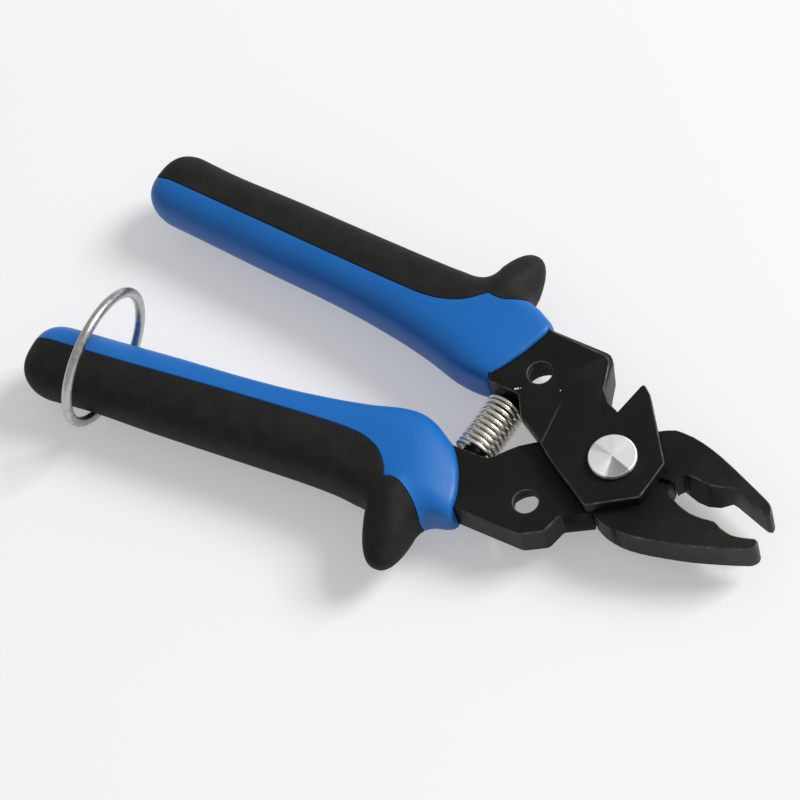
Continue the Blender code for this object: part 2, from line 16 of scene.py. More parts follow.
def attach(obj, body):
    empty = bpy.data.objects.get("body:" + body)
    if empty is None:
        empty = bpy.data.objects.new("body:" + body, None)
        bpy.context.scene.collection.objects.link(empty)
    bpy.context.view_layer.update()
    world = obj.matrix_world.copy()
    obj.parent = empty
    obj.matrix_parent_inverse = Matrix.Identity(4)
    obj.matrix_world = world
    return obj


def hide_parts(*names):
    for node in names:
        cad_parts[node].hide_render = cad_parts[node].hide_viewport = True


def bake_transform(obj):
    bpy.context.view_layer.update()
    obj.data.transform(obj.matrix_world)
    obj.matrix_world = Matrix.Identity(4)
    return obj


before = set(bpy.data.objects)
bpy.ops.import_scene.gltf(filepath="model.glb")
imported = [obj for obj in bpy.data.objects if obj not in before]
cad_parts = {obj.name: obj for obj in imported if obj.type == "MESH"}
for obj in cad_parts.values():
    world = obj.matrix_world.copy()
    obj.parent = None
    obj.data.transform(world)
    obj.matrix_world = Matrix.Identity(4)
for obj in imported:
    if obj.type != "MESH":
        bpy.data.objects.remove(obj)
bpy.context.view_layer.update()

MM = 0.001

# ---------------------------------------------------------------- driving dimensions (mm)
WELD = 0.002                   # vertices closer than this are one

GRIP_AXIS_Z = 12.4
GRIP_REFERENCE = (-103.0, 27.1)  # x and distance from y = 0 of each grip frame's origin
LOWER_ANGLE = 5.6              # degrees from X
UPPER_ANGLE = -3.4
GRIP_END = {"lower": -64.4, "upper": -63.4}
GRIP_CAP = 11.0                # length of the rounded end
CAP_START = 0.02               # share of that length where the tip is
CAP_SHARES = (0.021, 0.03, 0.045, 0.07, 0.1, 0.15, 0.22, 0.31, 0.42, 0.55, 0.7, 0.85)
CAP_POWER = 2.7                # of the rounded end's superellipse
JACKET = 3.0                   # thickness of the soft cover
CORE_GAP = 0.3                 # round a core or a tang
SEAM_GAP = 0.06                # between sleeve and cover
GROOVE_RADIUS = 0.28           # of the line along the seam
GROOVE_LIFT = 0.08             # of the groove's centre above the surface
TANG_HALF_WIDTH = 4.0
TANG_HALF_HEIGHT = 3.0
TANG_END = -42.0
CHANNEL_END = 75.0             # past the sleeve's front rim
CORE_ENDS = (4.0, 63.0)        # soft cover's core: from the grip's end, and along its axis
INNER_CORE_ENDS = (6.0, 61.0)  # sleeve's own core, a little shorter
REGION_OUT = 34.0              # past the finger guard's tip
REGION_HALF_HEIGHT = 20.0      # past the grip's upper and lower surface
VOXEL = 0.65                   # of the grip's skin before it is smoothed
SKIN_ROUNDS = 3                # of smoothing all over

# Grip sections: along, half width to the inner side, to the outer side, half height above and
# below the centre plane, how far the section leans with its outer side towards the head, in
# degrees, and its superellipse power.
GRIP_REAR = [
    (-55, 10.1, 10.5, 8.6, 8.8, 0, 2.5),
    (-40, 10.6, 10.2, 8.7, 8.6, 0, 2.25),
    (-20, 10.8, 10.5, 9.1, 9.1, 0, 2.4),
    (0, 10.8, 10.5, 9.5, 9.5, 0, 2.5),
    (15, 11.3, 10.5, 9.7, 9.7, 0, 2.6),
    (28, 12.4, 10.6, 9.8, 9.8, 0, 2.7),
]
GRIP_FRONT = {
    "lower": [
        (38, 13.7, 11.2, 9.9, 9.9, 0, 2.8),
        (46, 15.1, 12.7, 9.9, 9.9, 3, 3.0),
        (51, 15.5, 13.2, 9.8, 9.8, 7, 3.1),
        (56, 15.3, 12.7, 9.3, 9.5, 12, 3.3),
        (60, 14.6, 12.3, 8.4, 8.9, 16, 3.6),
        (64, 13.1, 11.4, 7.1, 8.1, 19, 3.9),
        (69.1, 9.9, 9.9, 5.0, 6.8, 22, 4.0),
    ],
    "upper": [
        (38, 13.7, 10.9, 9.9, 9.9, 0, 2.8),
        (46, 15.1, 11.8, 9.9, 9.9, 3, 3.0),
        (51, 15.9, 11.6, 9.8, 9.7, 5, 3.4),
        (56, 16.1, 10.8, 9.6, 9.1, 9, 3.9),
        (60, 16.2, 9.8, 9.3, 8.3, 12, 4.4),
        (64, 16.1, 8.2, 8.8, 7.3, 15, 5.0),
        (68.8, 15.8, 6.4, 8.1, 6.2, 17, 5.5),
    ],
}
RIM_BOW = {"lower": 2.4, "upper": 2.0}     # how far the front rim's two sides stand back
RIM_BOW_START = 51.0
# The soft cover's edge, seen along Z: to a cusp on the grip, then round the guard's front.
COVER_EDGE = {
    "lower": [
        (-80, -2.2), (-40, -2.3), (0, -2.8), (28, -2.9), (38, -2.5), (42.6, -1.7), (46.4, -0.1),
        (49.0, 1.9), (51.0, 4.4), (52.4, 7.0),
    ],
    "upper": [
        (-80, -2.2), (-40, -2.3), (0, -2.8), (28, -2.9), (36, -2.4), (41, -1.0), (45.4, 1.3),
        (49.6, 5.6),
    ],
}
GUARD_EDGE = {
    "lower": [(52.4, 7.0), (54.2, 6.6), (57.2, 7.3), (60.5, 9.4), (63.1, 12.1), (64.6, 16)],
    "upper": [(49.6, 5.6), (51.6, 5.4), (54.2, 5.8), (57.6, 7.9), (60.2, 10.8), (61.6, 16)],
}
GUARD_CENTRE = {"lower": (55.3, 10.8), "upper": (50.9, 10.5)}
GUARD_HALF_SIZE = {"lower": (7.2, 17.3, 9.8), "upper": (6.5, 14.9, 9.4)}
GUARD_POWER = 2.5              # of the lobe's superellipse
GUARD_LEAN = {"lower": 7.0, "upper": 0.0}  # degrees towards the head
GUARD_TAPER = (0.18, 0.45)     # share of its width and of its height lost at the tip
GUARD_TRIM = 0.995             # keeps the fine lobe inside the CAD one
GUARD_BLEND = 6.0              # how far the fillet between grip and guard reaches
GUARD_ROOT = (11.0, 5.0)       # out from the axis, the fillet's middle and its half height
GUARD_BLEND_ROUNDS = 90

# Outline, low and high side of the space a lever takes in its sleeve.
SOCKETS = {
    "lower": ([(-44.0, -11.25), (-20, -11.25), (-20, -27.6), (-32.7, -27.6)], 6.85, 15.85),
    "upper": ([(-42.7, 11.8), (-41.3, 7.0), (-20, 7.0), (-20, 27.6), (-36.7, 27.6)], 7.85, 19.55),
}

SPRING_TOP = (-35.5, 6.2, 11.9)
SPRING_BOTTOM = (-36.8, -10.5, 11.9)
SPRING_RADIUS = 5.5
SPRING_WIRE = 1.04
SPRING_TURNS = 10.5
SPRING_CLOSED_PITCH = 1.08     # of the end coils, in wire thicknesses
PEG_RADIUS = 2.95
PEG_DEPTHS = {"lower": 3.9, "upper": 3.7}
PEG_STAND = 3.0                # past the lever
PEG_NOSE = 1.2
PEG_FOOT = 0.3
PEG_TRIM = 0.01                # keeps each end inside the CAD peg

RING_CENTRE = (-142.1, -28.7)
RING_RADIUS = 18.9
RING_WIRE_RADIUS = 1.4
RING_YAW = 4.0                 # degrees
RING_LEAN = 11.0               # degrees from upright
RING_HALF_GAP = 0.12           # of the butt joint, at the ring's underside

NUT_HEIGHT = 5.9
NUT_RADIUS = 7.5               # to its corners
NUT_CROWN = 0.62               # height lost at the corners
WASHER_LOW, WASHER_HIGH, WASHER_RADIUS = 6.15, 6.75, 8.0
WASHER_EDGE = 0.12
BORE_RADIUS = 4.3
BORE_EDGE = 0.5
SHANK_RADIUS = 3.99
SHANK_EDGE = 0.5
HEAD_LOW, HEAD_HIGH, HEAD_RADIUS = 19.7, 21.0, 6.15
HEAD_EDGE = 0.15               # under the head
TURNING_FIRST, TURNING_PITCH, TURNING_MARKS = 5.2, 0.6, 9   # grooves across the head's face
TURNING_DEPTH, TURNING_HALF_WIDTH = 0.0175, 0.12

CHAMFER = 0.35                 # on the levers' front edges
CHAMFER_ANGLE = 38.0           # degrees, the least that is chamfered
JAW_FACE, PLATE_FACE = 15.7, 19.4
HUB_REACH = 18.0               # round the pivot, where the lap's edges below the plate stay sharp
FACE_TOLERANCE = 0.01
FLAT_ANGLE = 0.6               # degrees, faces that meet flatter are one
# x, y and radius of the near-white spots on the plate's face, painted glints that stand for small
# chips, and how far noise spreads their outline.
GLINT_SPOTS = [(-32.9, 7.9, 0.26), (-32.4, 8.25, 0.22), (-31.8, 8.6, 0.12), (-21.9, 12.1, 0.12)]
GLINT_SPREAD = 2.2
JAW_TONE_START, JAW_TONE_FULL = 12.0, 34.0     # along X, where the steel turns lighter towards the jaws
RIDGE_X, RIDGE_SLOPE = -19.2, -0.092   # painted highlight along a faint ridge on the plate's face, which stays flat: x at y = 0, dx / dy
RIDGE_WIDTH = 0.3
RIDGE_FADE = (5.0, 10.5)               # along Y
RIDGE_DEPTH = 0.1                      # of its line below the face

CAMERA_LENS, CAMERA_SENSOR = 103.15, 36
CAMERA_PLACE = (200.08, -216.54, 508.73)
CAMERA_RIGHT = (0.83206, 0.50759, -0.22365)
CAMERA_UP = (-0.34041, 0.78564, 0.51661)
KEY_PLACE, KEY_TARGET = (1.5, 1.6, 1.9), (-0.06, 0, 0)      # metres
KEY_SIZE, KEY_POWER = 1.1, 96.0
WORLD_STRENGTH = 0.46
FLOOR_GLOW = 0.34


# ---------------------------------------------------------------- node helpers
class Nodes:
    """Short calls for building one material's nodes."""

    def __init__(self, name, colour, roughness, metallic):
        self.material = bpy.data.materials.new(name)
        self.material.use_nodes = True
        self.tree = self.material.node_tree
        self.shader = self.tree.nodes["Principled BSDF"]
        self.shader.inputs["Base Color"].default_value = (*colour, 1)
        self.shader.inputs["Roughness"].default_value = roughness
        self.shader.inputs["Metallic"].default_value = metallic
        self.place = self.add("ShaderNodeTexCoord").outputs["Object"]

    def add(self, kind, **values):
        node = self.tree.nodes.new(kind)
        for key, value in values.items():
            setattr(node, key, value)
        return node

    def link(self, source, target):
        self.tree.links.new(source, target)

    def math(self, operation, *values):
        """Maths node of sockets and numbers."""
        node = self.add("ShaderNodeMath", operation=operation)
        for socket, value in zip(node.inputs, values):
            if isinstance(value, (int, float)):
                socket.default_value = value
            else:
                self.link(value, socket)
        return node.outputs[0]

    def scale(self, source, start, end, low=0.0, high=1.0):
        """Value from low where the source is start to high where it is end."""
        node = self.add("ShaderNodeMapRange")
        limits = {"From Min": start, "From Max": end, "To Min": low, "To Max": high}
        for name, value in limits.items():
            node.inputs[name].default_value = value
        self.link(source, node.inputs["Value"])
        return node.outputs["Result"]

    def fade(self, source, start, end):
        """1 at start and less up to 0 at end, both in mm."""
        return self.scale(source, start * MM, end * MM, 1.0, 0.0)

    def axes(self):
        """X, Y and Z on the object, in metres."""
        split = self.add("ShaderNodeSeparateXYZ")
        self.link(self.place, split.inputs["Vector"])
        return [split.outputs[axis] for axis in "XYZ"]

    def mix(self, factor, first, second):
        """Colour from first to second by factor; each is a socket or three numbers."""
        node = self.add("ShaderNodeMix", data_type="RGBA")
        self.link(factor, node.inputs["Factor"])
        for name, colour in (("A", first), ("B", second)):
            if isinstance(colour, tuple):
                node.inputs[name].default_value = (*colour, 1)
            else:
                self.link(colour, node.inputs[name])
        return node.outputs["Result"]

    def noise(self, scale, detail):
        """Noise over the object, with scale in cells per metre."""
        texture = self.add("ShaderNodeTexNoise")
        texture.inputs["Scale"].default_value = scale
        texture.inputs["Detail"].default_value = detail
        self.link(self.place, texture.inputs["Vector"])
        return texture.outputs["Fac"]

    def ramp(self, factor, stops):
        """Colours or greys by factor; stops are (position, colour)."""
        node = self.add("ShaderNodeValToRGB")
        while len(node.color_ramp.elements) < len(stops):
            node.color_ramp.elements.new(0.5)
        for element, (position, colour) in zip(node.color_ramp.elements, stops):
            element.position = position
            value = colour if isinstance(colour, tuple) else (colour, colour, colour)
            element.color = (*value, 1)
        self.link(factor, node.inputs["Fac"])
        return node.outputs["Color"]

    def colour(self, source):
        self.link(source, self.shader.inputs["Base Color"])

    def roughness(self, source):
        self.link(source, self.shader.inputs["Roughness"])

    def bump(self, layers):
        """Stacked bumps; layers are (height, strength, distance in mm)."""
        normal = None
        for height, strength, distance in layers:
            node = self.add("ShaderNodeBump")
            node.inputs["Strength"].default_value = strength
            node.inputs["Distance"].default_value = distance * MM
            self.link(height, node.inputs["Height"])
            if normal is not None:
                self.link(normal, node.inputs["Normal"])
            normal = node.outputs["Normal"]
        self.link(normal, self.shader.inputs["Normal"])


def black_steel(name="black_oxide_steel", painted_highlights=False):
    """Black oxide over a forged and blasted surface; the flag adds painted highlights on the boss
    plate's face: a light line along a faint ridge and near-white glint spots.
    """
    n = Nodes(name, (0.006, 0.006, 0.0056), 0.42, 0.0)
    broad, fine = n.noise(90, 5), n.noise(1600, 3)
    body_tone = n.ramp(broad, [(0.3, (0.0040, 0.0039, 0.0036)), (0.7, (0.0076, 0.0073, 0.0066))])
    jaw_tone = n.ramp(
        n.noise(260, 5), [(0.3, (0.010, 0.0092, 0.0078)), (0.7, (0.021, 0.0188, 0.0155))]
    )
    x, y, z = n.axes()
    # colour turns lighter towards the jaws, along X
    colour = n.mix(n.scale(x, JAW_TONE_START * MM, JAW_TONE_FULL * MM), body_tone, jaw_tone)
    if painted_highlights:
        # painted highlight: a lighter line where a faint ridge on the plate's face catches the
        # light
        across = n.math("SUBTRACT", x, n.math("MULTIPLY_ADD", y, RIDGE_SLOPE, RIDGE_X * MM))
        near = n.fade(n.math("ABSOLUTE", across), 0, RIDGE_WIDTH)
        on_face = n.math("GREATER_THAN", z, (PLATE_FACE - RIDGE_DEPTH) * MM)
        ridge_highlight = n.math("MULTIPLY", n.math("MULTIPLY", near, n.fade(y, *RIDGE_FADE)), on_face)
        colour = n.mix(ridge_highlight, colour, (0.052, 0.048, 0.042))
        # painted glints: near-white spots on the plate's face, standing for small chips
        ragged = n.noise(1800, 2)
        for spot_x, spot_y, radius in GLINT_SPOTS:
            away = n.add("ShaderNodeVectorMath", operation="DISTANCE")
            n.link(n.place, away.inputs[0])
            away.inputs[1].default_value = (spot_x * MM, spot_y * MM, PLATE_FACE * MM)
            reach = n.math("MULTIPLY", ragged, GLINT_SPREAD * radius * MM)
            inside = n.math("LESS_THAN", away.outputs["Value"], reach)
            colour = n.mix(inside, colour, (0.75, 0.73, 0.7))
    n.colour(colour)
    n.roughness(n.ramp(broad, [(0.25, 0.36), (0.75, 0.5)]))
    n.bump([(broad, 0.25, 0.12), (n.noise(420, 4), 0.3, 0.06), (fine, 0.6, 0.04)])
    n.shader.inputs["Specular IOR Level"].default_value = 0.16
    return n.material


def worn_and_highlit_edge():
    """Black oxide rubbed thin along an edge, made lighter also as a painted highlight on the
    chamfer.
    """
    n = Nodes("black_edge_wear_and_painted_highlight", (0.02, 0.018, 0.016), 0.4, 0.1)
    # lighter tones: wear plus a painted highlight along the edge
    n.colour(n.ramp(n.noise(420, 5), [
        (0.3, (0.016, 0.015, 0.013)), (0.55, (0.045, 0.042, 0.036)), (0.75, (0.12, 0.113, 0.1)),
    ]))
    n.bump([(n.noise(1600, 3), 0.3, 0.03)])
    n.shader.inputs["Specular IOR Level"].default_value = 0.3
    return n.material


def turned_steel():
    """Face-turned bright steel, with fine circular tool marks and a painted reflection: the sheen's
    light and dark wedges round Z, in its colour.
    """
    n = Nodes("turned_bright_steel", (0.8, 0.79, 0.77), 0.36, 0.6)
    rings = n.add("ShaderNodeTexWave", wave_type="RINGS", rings_direction="Z")
    rings.inputs["Scale"].default_value = 400
    n.link(n.place, rings.inputs["Vector"])
    n.bump([(rings.outputs["Fac"], 0.06, 0.01)])
    tangent = n.add("ShaderNodeTangent", direction_type="RADIAL", axis="Z")
    n.link(tangent.outputs["Tangent"], n.shader.inputs["Tangent"])
    n.shader.inputs["Anisotropic"].default_value = 0.6
    n.roughness(n.ramp(n.noise(300, 3), [(0.3, 0.34), (0.7, 0.42)]))
    x, y, _ = n.axes()
    # painted reflection: light and dark wedges of the sheen, by angle round Z, in the base colour
    n.colour(n.ramp(n.scale(n.math("ARCTAN2", y, x), -pi, pi), [
        (0.0, 0.62), (0.03, 0.82), (0.27, 0.84), (0.3, 0.36), (0.445, 0.3), (0.46, 0.92),
        (0.7, 0.92), (0.77, 0.72), (0.85, 0.74), (0.9, 0.84), (0.95, 0.8), (0.965, 0.6),
        (1.0, 0.62),
    ]))
    return n.material


def spring_steel():
    """Nickel-plated drawn wire."""
    n = Nodes("nickel_spring_wire", (0.78, 0.73, 0.65), 0.34, 1.0)
    n.colour(n.ramp(n.noise(500, 3), [(0.3, (0.72, 0.67, 0.58)), (0.7, (0.86, 0.82, 0.74))]))
    n.roughness(n.ramp(n.noise(1500, 3), [(0.3, 0.28), (0.7, 0.4)]))
    return n.material


def ring_steel():
    """Drawn and bent steel wire, lightly dulled."""
    n = Nodes("dull_ring_wire", (0.5, 0.49, 0.47), 0.3, 1.0)
    tone = n.noise(700, 4)
    n.colour(n.ramp(tone, [(0.3, (0.42, 0.41, 0.39)), (0.7, (0.56, 0.55, 0.53))]))
    n.roughness(n.ramp(tone, [(0.3, 0.25), (0.7, 0.38)]))
    n.bump([(n.noise(2200, 2), 0.12, 0.015)])
    return n.material


def blue_plastic():
    """Satin moulded plastic with a fine spark-eroded texture."""
    n = Nodes("blue_hard_plastic", (0.003, 0.112, 0.40), 0.42, 0.0)
    broad, fine = n.noise(40, 3), n.noise(2600, 2)
    n.colour(n.ramp(broad, [(0.3, (0.0022, 0.104, 0.365)), (0.7, (0.0032, 0.118, 0.41))]))
    n.roughness(n.ramp(fine, [(0.3, 0.38), (0.7, 0.48)]))
    n.bump([(fine, 0.22, 0.03), (n.noise(120, 2), 0.1, 0.1)])
    n.shader.inputs["Specular IOR Level"].default_value = 0.32
    return n.material


def black_rubber():
    """Matte soft-touch elastomer with a grain and a little dust in it."""
    n = Nodes("black_soft_grip", (0.008, 0.008, 0.0075), 0.7, 0.0)
    grain, dust = n.noise(1500, 4), n.noise(220, 6)
    n.colour(n.ramp(dust, [(0.4, (0.0065, 0.0065, 0.006)), (0.72, (0.0115, 0.0113, 0.0104))]))
    n.roughness(n.ramp(grain, [(0.3, 0.6), (0.7, 0.78)]))
    n.bump([(grain, 0.5, 0.06)])
    n.shader.inputs["Specular IOR Level"].default_value = 0.22
    return n.material


# ---------------------------------------------------------------- mesh helpers
def mesh_object(name, bm):
    mesh = bpy.data.meshes.new(name)
    bmesh.ops.recalc_face_normals(bm, faces=bm.faces)
    bm.to_mesh(mesh)
    bm.free()
    item = bpy.data.objects.new(name, mesh)
    bpy.context.scene.collection.objects.link(item)
    return item


def apply_modifiers(item):
    bpy.context.view_layer.update()
    depsgraph = bpy.context.evaluated_depsgraph_get()
    mesh = bpy.data.meshes.new_from_object(item.evaluated_get(depsgraph))
    item.modifiers.clear()
    item.data = mesh
    return item


def combine(base, other, operation, solver="MANIFOLD"):
    """Boolean of base with other, which is used up."""
    modifier = base.modifiers.new(operation.lower(), "BOOLEAN")
    modifier.operation = operation
    modifier.solver = solver
    modifier.object = other
    apply_modifiers(base)
    bpy.data.objects.remove(other, do_unlink=True)
    return base


def shade(item, angle=30):
    item.data.shade_smooth()
    item.data.set_sharp_from_angle(angle=radians(angle))
    return item


def smooth(points, steps=8):
    """Points on a Catmull-Rom curve through the given points, both ends included."""
    given = [np.array(point, float) for point in points]
    given = [2 * given[0] - given[1]] + given + [2 * given[-1] - given[-2]]
    result = []
    for a, b, c, d in zip(given, given[1:], given[2:], given[3:]):
        for step in range(steps):
            t = step / steps
            result.append(
                0.5 * (2 * b + (c - a) * t + (2 * a - 5 * b + 4 * c - d) * t**2
                       + (3 * b - a - 3 * c + d) * t**3)
            )
    return result + [given[-2]]


def prism(name, outline, low, high):
    """Solid of a flat outline between two heights."""
    bm = bmesh.new()
    bottom = [bm.verts.new((x * MM, y * MM, low * MM)) for x, y in outline]
    top = [bm.verts.new((x * MM, y * MM, high * MM)) for x, y in outline]
    bm.faces.new(bottom)
    bm.faces.new(top)
    for i in range(len(outline)):
        j = (i + 1) % len(outline)
        bm.faces.new((bottom[i], bottom[j], top[j], top[i]))
    bmesh.ops.triangulate(bm, faces=bm.faces)
    return mesh_object(name, bm)


def turned(name, profile, sides=96):
    """Solid of revolution about Z.

    The profile is (radius, height) from the axis at the bottom to the axis at the top, or a loop
    clear of the axis.
    """
    bm = bmesh.new()
    rings = []
    for radius, height in profile:
        if radius == 0:
            rings.append([bm.verts.new((0, 0, height * MM))])
            continue
        angles = [2 * pi * side / sides for side in range(sides)]
        rings.append([
            bm.verts.new((radius * cos(a) * MM, radius * sin(a) * MM, height * MM)) for a in angles
        ])
    closed = profile[0][0] != 0
    pairs = list(zip(rings, rings[1:])) + ([(rings[-1], rings[0])] if closed else [])
    for low, high in pairs:
        for side in range(sides):
            after = (side + 1) % sides
            corners = [low[side % len(low)], low[after % len(low)]]
            corners += [high[after % len(high)], high[side % len(high)]]
            bm.faces.new(list(dict.fromkeys(corners)))
    return mesh_object(name, bm)


def tube(name, points, radius, resolution):
    """Round wire along points, as a mesh."""
    curve = bpy.data.curves.new(name, "CURVE")
    curve.dimensions = "3D"
    curve.bevel_depth = radius * MM
    curve.bevel_resolution = resolution
    curve.use_fill_caps = True
    spline = curve.splines.new("POLY")
    spline.points.add(len(points) - 1)
    for point, place in zip(spline.points, points):
        point.co = (*(Vector(place) * MM), 1)
    source = bpy.data.objects.new(name + "_path", curve)
    bpy.context.scene.collection.objects.link(source)
    bpy.context.view_layer.update()
    depsgraph = bpy.context.evaluated_depsgraph_get()
    mesh = bpy.data.meshes.new_from_object(source.evaluated_get(depsgraph))
    bpy.data.objects.remove(source, do_unlink=True)
    bm = bmesh.new()
    bm.from_mesh(mesh)
    bmesh.ops.remove_doubles(bm, verts=bm.verts, dist=WELD * MM)
    return mesh_object(name, bm)


def finish_piece(item, material, body, node):
    """Material, body and replaced CAD node of a piece; None keeps its own materials."""
    if material is not None:
        item.data.materials.clear()
        item.data.materials.append(material)
    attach(item, body)
    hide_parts(node)


# ---------------------------------------------------------------- grips
class Handle:
    """A grip's own frame."""

    def __init__(self, name, side, angle):
        self.name = name
        self.body = name + "_half"
        self.origin = Vector((GRIP_REFERENCE[0], side * GRIP_REFERENCE[1], GRIP_AXIS_Z))
        self.along = Vector((cos(radians(angle)), sin(radians(angle)), 0))
        self.out = Vector((-self.along.y, self.along.x, 0)) * side

    def place(self, along, out, up=0.0):
        return self.origin + self.along * along + self.out * out + Vector((0, 0, up))

    def local(self, points):
        """Frame coordinates (along, out, up) of world points in metres."""
        away = points / MM - np.array(self.origin)
        axes = np.array([self.along, self.out, (0, 0, 1)])
        return away @ axes.T


HANDLES = [Handle("lower", -1, LOWER_ANGLE), Handle("upper", 1, UPPER_ANGLE)]


def superellipse(angle, power):
    c, s = cos(angle), sin(angle)
    x = abs(c) ** (2 / power) * (1 if c > 0 else -1)
    y = abs(s) ** (2 / power) * (1 if s > 0 else -1)
    return x, y


def grip_sections(handle):
    """Sections from the rounded end to the front rim, closely spaced."""
    stations = smooth(GRIP_REAR + GRIP_FRONT[handle.name], 6)
    first = stations[0]
    sections = []
    for share in CAP_SHARES:
        left = (1 - share) / (1 - CAP_START)
        scale = (1 - left ** CAP_POWER) ** (1 / CAP_POWER)
        sizes = [scale * size for size in first[1:5]]
        sections.append((GRIP_END[handle.name] + GRIP_CAP * share, *sizes, *first[5:]))
    return sections + [tuple(station) for station in stations]


def loft(name, handle, sections, inset=0.0, sides=72):
    """Solid through a handle's sections, each made smaller by inset."""
    bm = bmesh.new()
    rim_along = GRIP_FRONT[handle.name][-1][0]
    rings = []
    for along, inner, outer, above, below, lean, power in sections:
        ring = []
        bow = RIM_BOW[handle.name] * max(along - RIM_BOW_START, 0) / (rim_along - RIM_BOW_START)
        for side in range(sides):
            x, y = superellipse(2 * pi * (side + 0.5) / sides, power)
            out = x * ((outer if x > 0 else inner) - inset)
            up = y * ((above if y > 0 else below) - inset)
            place = handle.place(along + out * tan(radians(lean)) - bow * x**2, out, up)
            ring.append(bm.verts.new(place * MM))
        rings.append(ring)
    for ring, following in zip(rings, rings[1:]):
        for side in range(sides):
            after = (side + 1) % sides
            bm.faces.new((ring[side], ring[after], following[after], following[side]))
    bm.faces.new(rings[0])
    bm.faces.new(rings[-1])
    bmesh.ops.triangulate(bm, faces=bm.faces)
    return mesh_object(name, bm)


def guard(handle):
    """The finger guard's lobe."""
    bm = bmesh.new()
    bmesh.ops.create_uvsphere(bm, u_segments=56, v_segments=36, radius=1.0)
    for vert in bm.verts:
        x, y, z = vert.co
        squareness = sum(abs(value) ** GUARD_POWER for value in (x, y, z)) ** (-1 / GUARD_POWER)
        x, y, z = (value * squareness * GUARD_TRIM for value in (x, y, z))
        taper = max(y, 0)
        width, reach, height = GUARD_HALF_SIZE[handle.name]
        along = GUARD_CENTRE[handle.name][0] + x * width * (1 - GUARD_TAPER[0] * taper)
        along += y * reach * tan(radians(GUARD_LEAN[handle.name]))
        out = GUARD_CENTRE[handle.name][1] + y * reach
        vert.co = handle.place(along, out, z * height * (1 - GUARD_TAPER[1] * taper)) * MM
    bmesh.ops.triangulate(bm, faces=bm.faces)
    return mesh_object("guard", bm)


def vertex_places(item):
    places = np.empty(len(item.data.vertices) * 3)
    item.data.vertices.foreach_get("co", places)
    return places.reshape(-1, 3)


def neighbour_average(item, weights, rounds):
    """Laplacian smoothing of a mesh with a weight for each vertex."""
    mesh = item.data
    count = len(mesh.vertices)
    edges = np.empty(len(mesh.edges) * 2, np.int64)
    mesh.edges.foreach_get("vertices", edges)
    first, second = edges[0::2], edges[1::2]
    degree = np.bincount(edges, minlength=count).astype(float)[:, None]
    places = vertex_places(item)
    weights = weights[:, None]
    for _ in range(rounds):
        total = np.zeros_like(places)
        for axis in range(3):
            total[:, axis] += np.bincount(first, places[second, axis], count)
            total[:, axis] += np.bincount(second, places[first, axis], count)
        places += weights * (total / degree - places)
    mesh.vertices.foreach_set("co", places.ravel())
    mesh.update()


def whole_grip(handle):
    """The grip with its guard as one smooth skin, the fillet between them rounded."""
    grip = loft(handle.name + "_whole", handle, grip_sections(handle))
    combine(grip, guard(handle), "UNION")
    remesh = grip.modifiers.new("remesh", "REMESH")
    remesh.mode = "VOXEL"
    remesh.voxel_size = VOXEL * MM
    apply_modifiers(grip)
    neighbour_average(grip, np.full(len(grip.data.vertices), 0.5), SKIN_ROUNDS)
    along, out = handle.local(vertex_places(grip)).T[:2]
    centre, half = GUARD_CENTRE[handle.name][0], GUARD_HALF_SIZE[handle.name][0]
    away = np.abs(np.abs(along - centre) - half)
    off_root = np.abs(out - GUARD_ROOT[0]) / GUARD_ROOT[1]
    near = np.clip(1 - away / GUARD_BLEND, 0, 1) * np.clip(1 - off_root, 0, 1)
    neighbour_average(grip, near, GUARD_BLEND_ROUNDS)
    return grip


def cover_region(handle, shift_along=0.0, shift_out=0.0):
    """Upright block holding everything on the soft cover's side of its edge."""
    edge = smooth(COVER_EDGE[handle.name])[:-1] + smooth(GUARD_EDGE[handle.name])
    outline = [(point[0] + shift_along, point[1] + shift_out) for point in edge]
    outline += [(outline[-1][0], REGION_OUT), (outline[0][0], REGION_OUT)]
    places = [handle.place(along, out) for along, out in outline]
    low, high = GRIP_AXIS_Z - REGION_HALF_HEIGHT, GRIP_AXIS_Z + REGION_HALF_HEIGHT
    return prism("region", [(p.x, p.y) for p in places], low, high)


def seam_groove(handle, grip):
    """Thin wire along the seam on the grip's upper and lower surface, to cut a groove with."""
    bm = bmesh.new()
    bm.from_mesh(grip.data)
    tree = BVHTree.FromBMesh(bm)
    bm.free()
    seam = smooth(COVER_EDGE[handle.name], 10)[:-1] + smooth(GUARD_EDGE[handle.name], 10)
    halves = {1: [], -1: []}
    for along, out in seam:
        for side in halves:
            start = handle.place(along, out, side * REGION_HALF_HEIGHT) * MM
            hit = tree.ray_cast(start, Vector((0, 0, -side)))[0]
            if hit is not None:
                halves[side].append(hit / MM + Vector((0, 0, GROOVE_LIFT * side)))
    path = halves[1][::-1] + halves[-1]
    return tube("groove", path, GROOVE_RADIUS, 1)


def lever_sockets(handle):
    """Space that the lever and its tang take in a sleeve."""
    socket = prism("socket", *SOCKETS[handle.name])
    width, height = TANG_HALF_WIDTH + CORE_GAP, TANG_HALF_HEIGHT + CORE_GAP
    end = TANG_END - CORE_GAP
    corners = [(end, -width), (CHANNEL_END, -width), (CHANNEL_END, width), (end, width)]
    places = [handle.place(along, out) for along, out in corners]
    low, high = GRIP_AXIS_Z - height, GRIP_AXIS_Z + height
    channel = prism("channel", [(p.x, p.y) for p in places], low, high)
    return combine(socket, channel, "UNION")


def core(handle, ends, inset):
    """Inner part of a grip between two ends: from the grip's own end, and along its axis."""
    start = GRIP_END[handle.name] + ends[0]
    inside = [section for section in grip_sections(handle) if start < section[0] < ends[1]]
    return loft("core", handle, inside, inset)


